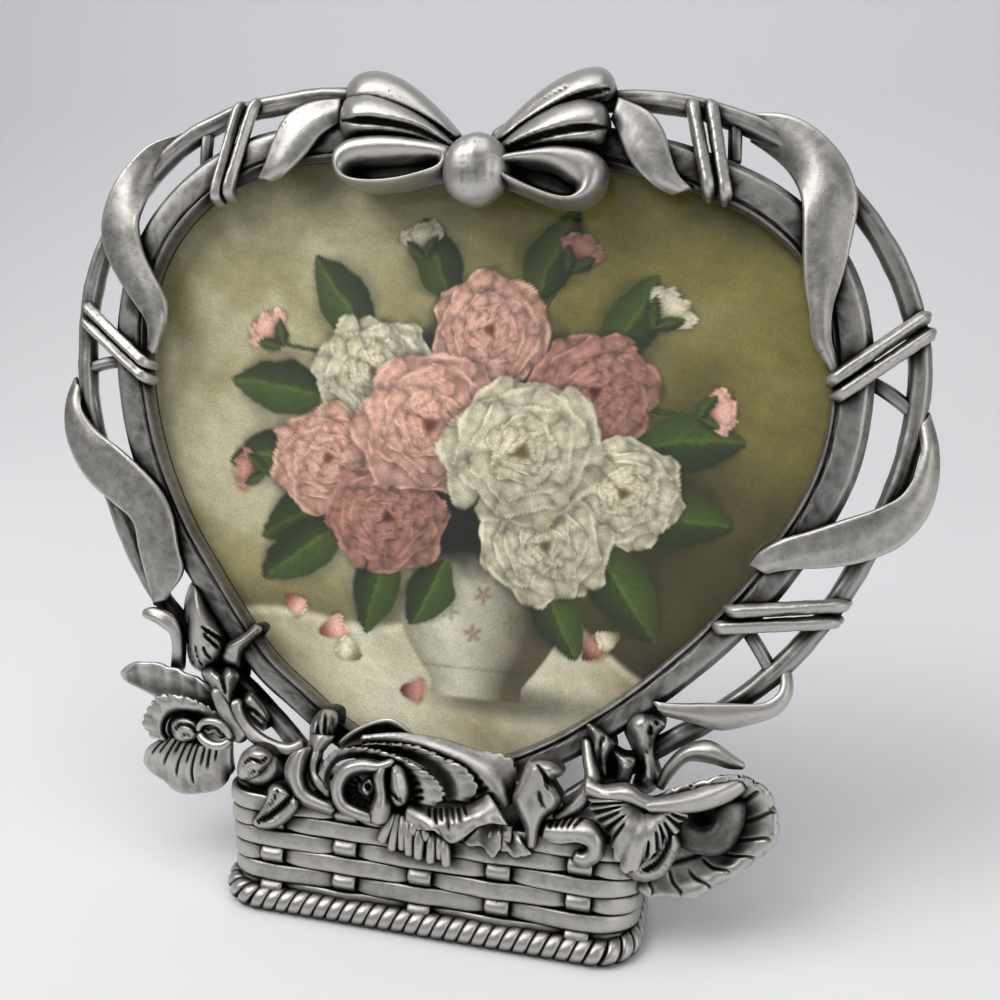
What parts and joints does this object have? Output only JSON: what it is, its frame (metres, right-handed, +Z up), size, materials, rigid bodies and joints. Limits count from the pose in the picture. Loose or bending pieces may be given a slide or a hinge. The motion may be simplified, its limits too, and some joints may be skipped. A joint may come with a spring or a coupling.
{
  "type": "heart shaped photo frame",
  "caption": "Heart shaped pewter photo frame with a ribboned vine border, a bow, a flower basket foot and a folding easel strut.",
  "frame": {"origin": "the middle of the frame's foot on the floor, under the basket", "axes": "+X to the viewer's right, +Y backwards, away from the viewer, +Z up; the frame leans back as it stands"},
  "size_m": [0.1555, 0.0698, 0.1405],
  "materials": {
    "antique_pewter": "cast pewter, brushed bright on the high spots and blackened in the recesses",
    "glass": "clear and polished",
    "print": "satin printed paper",
    "card": "plain grey-white card",
    "velvet": "black velveteen over board",
    "hinge_metal": "satin nickel plate"
  },
  "bodies": {
    "frame": {"inner_rim": "antique_pewter", "outer_vine_left": "antique_pewter", "outer_vine_right": "antique_pewter", "cross_twigs": "antique_pewter", "binding_wires": "antique_pewter", "ribbon_neck_left": "antique_pewter", "ribbon_upper_left": "antique_pewter", "ribbon_lower_left": "antique_pewter", "ribbon_neck_right": "antique_pewter", "ribbon_upper_right": "antique_pewter", "ribbon_lower_right": "antique_pewter", "ribbon_tail_right": "antique_pewter", "bow_knot": "antique_pewter", "bow_loop_lower_left": "antique_pewter", "bow_loop_lower_right": "antique_pewter", "bow_loop_middle_left": "antique_pewter", "bow_loop_middle_right": "antique_pewter", "bow_loop_upper_left": "antique_pewter", "bow_loop_upper_right": "antique_pewter", "rose_heart": "antique_pewter", "rose_front_petal": "antique_pewter", "centre_leaves": "antique_pewter", "rose_fringe": "antique_pewter", "rose_left_petals": "antique_pewter", "rose_serrated_petal": "antique_pewter", "rose_back_petal": "antique_pewter", "camellia_heart": "antique_pewter", "camellia_middle_petal": "antique_pewter", "small_bud": "antique_pewter", "left_bud_collar": "antique_pewter", "camellia_lower_petal": "antique_pewter", "camellia_upper_petal": "antique_pewter", "left_bud": "antique_pewter", "left_bud_sepals": "antique_pewter", "left_leaves": "antique_pewter", "lily_trumpet_petal": "antique_pewter", "lily_inner_petals": "antique_pewter", "lily_outer_petal": "antique_pewter", "lily_buds": "antique_pewter", "lily_leaves": "antique_pewter", "left_stem": "antique_pewter", "basket_body": "antique_pewter", "basket_stakes": "antique_pewter", "basket_weave": "antique_pewter", "rope_foot": "antique_pewter", "glass_pane": "glass", "picture_print": "print", "spacer_card": "card", "back_board": "velvet", "hinge_plate": "hinge_metal", "hinge_pin": "hinge_metal", "hinge_rivets": "hinge_metal", "button_rivets": "hinge_metal"},
    "strut": {"strut_leaf": "hinge_metal", "easel_strut": "velvet", "strut_rivets": "hinge_metal"},
    "turn_button_1": {"turn_button_1": "hinge_metal"},
    "turn_button_2": {"turn_button_2": "hinge_metal"},
    "turn_button_3": {"turn_button_3": "hinge_metal"},
    "turn_button_4": {"turn_button_4": "hinge_metal"}
  },
  "joints": [
    {"name": "strut_fold", "type": "hinge", "parent": "frame", "child": "strut", "pos_m": [0, 0.03318, 0.09147], "axis": [1, 0, 0], "range_deg": [-28.5, 0]},
    {"name": "button_turn_1", "type": "hinge", "parent": "frame", "child": "turn_button_1", "pos_m": [0.0502, 0.0378, 0.11744], "axis": [0, 0.9721, -0.2345], "range_deg": [-90, 90]},
    {"name": "button_turn_2", "type": "hinge", "parent": "frame", "child": "turn_button_2", "pos_m": [0.0469, 0.02106, 0.04804], "axis": [0, 0.9721, -0.2345], "range_deg": [-90, 90]},
    {"name": "button_turn_3", "type": "hinge", "parent": "frame", "child": "turn_button_3", "pos_m": [-0.04724, 0.02163, 0.05039], "axis": [0, 0.9721, -0.2345], "range_deg": [-90, 90]},
    {"name": "button_turn_4", "type": "hinge", "parent": "frame", "child": "turn_button_4", "pos_m": [-0.05433, 0.03798, 0.11819], "axis": [0, 0.9721, -0.2345], "range_deg": [-90, 90]}
  ]
}
